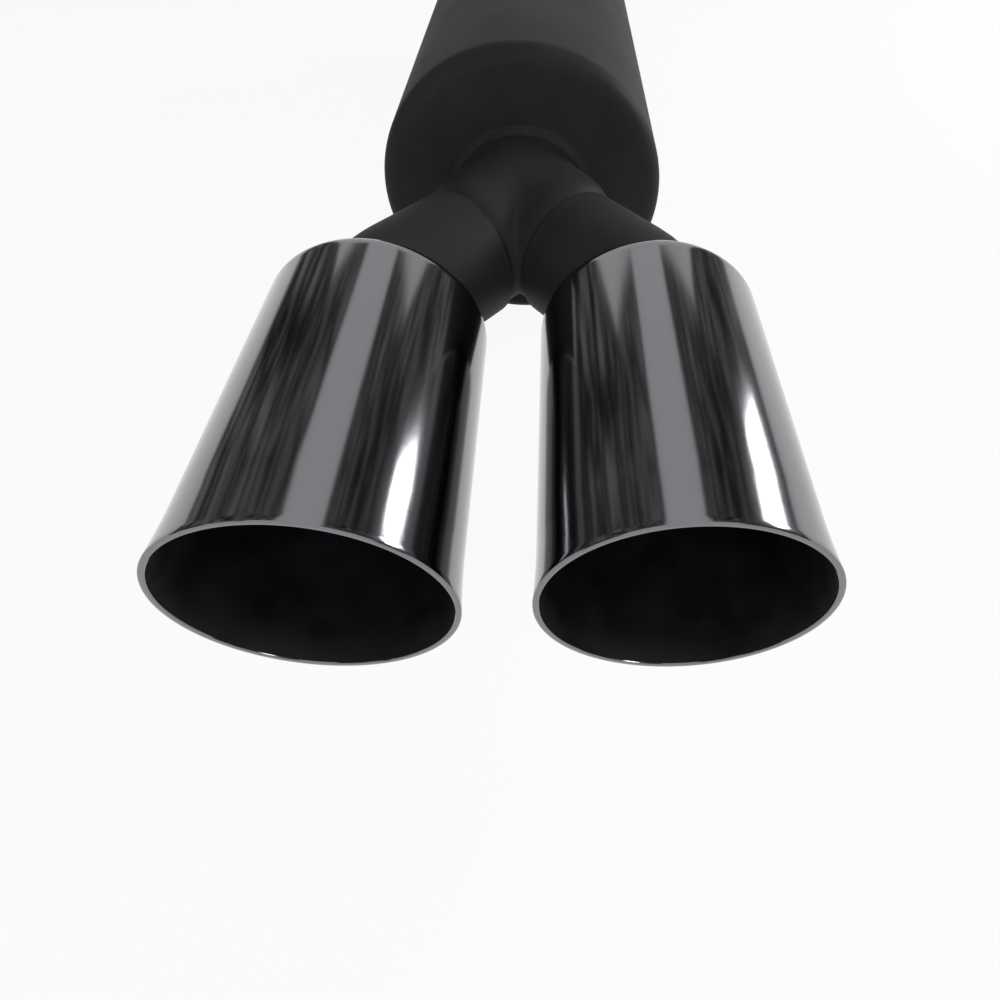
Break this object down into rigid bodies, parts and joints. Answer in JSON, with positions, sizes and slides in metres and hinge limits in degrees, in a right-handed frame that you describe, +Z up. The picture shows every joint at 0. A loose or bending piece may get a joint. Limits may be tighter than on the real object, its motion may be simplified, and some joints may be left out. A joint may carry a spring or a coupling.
{
  "type": "twin tip exhaust silencer",
  "caption": "Round black silencer can whose outlet parts into two stub pipes that carry parallel dark chrome exhaust tips; its inlet slips over a vehicle's exhaust pipe.",
  "frame": {"origin": "centre of the inlet pipe's mouth", "axes": "+Y out of the inlet along the can's axis, +Z up, +X to the right when the tip mouths are looked into; the tips face -Y"},
  "size_m": [0.173, 0.569, 0.124],
  "materials": {
    "black_paint": "satin black heat-proof paint",
    "dark_chrome": "polished dark chrome",
    "bare_steel": "bare perforated steel",
    "glass_wool": "matted glass wool"
  },
  "bodies": {
    "root": {"can_shell": "black_paint", "front_end_cap": "black_paint", "rear_end_cap": "black_paint", "front_cap_weld": "black_paint", "rear_cap_weld": "black_paint", "inlet_pipe": "black_paint", "inlet_weld": "black_paint", "perforated_core": "bare_steel", "wool_packing": "glass_wool", "splitter": "black_paint", "outlet_weld": "black_paint", "left_stub_pipe": "black_paint", "left_stub_weld": "black_paint", "left_tip": "dark_chrome", "left_tip_weld": "black_paint", "right_stub_pipe": "black_paint", "right_stub_weld": "black_paint", "right_tip": "dark_chrome", "right_tip_weld": "black_paint"}
  },
  "joints": []
}
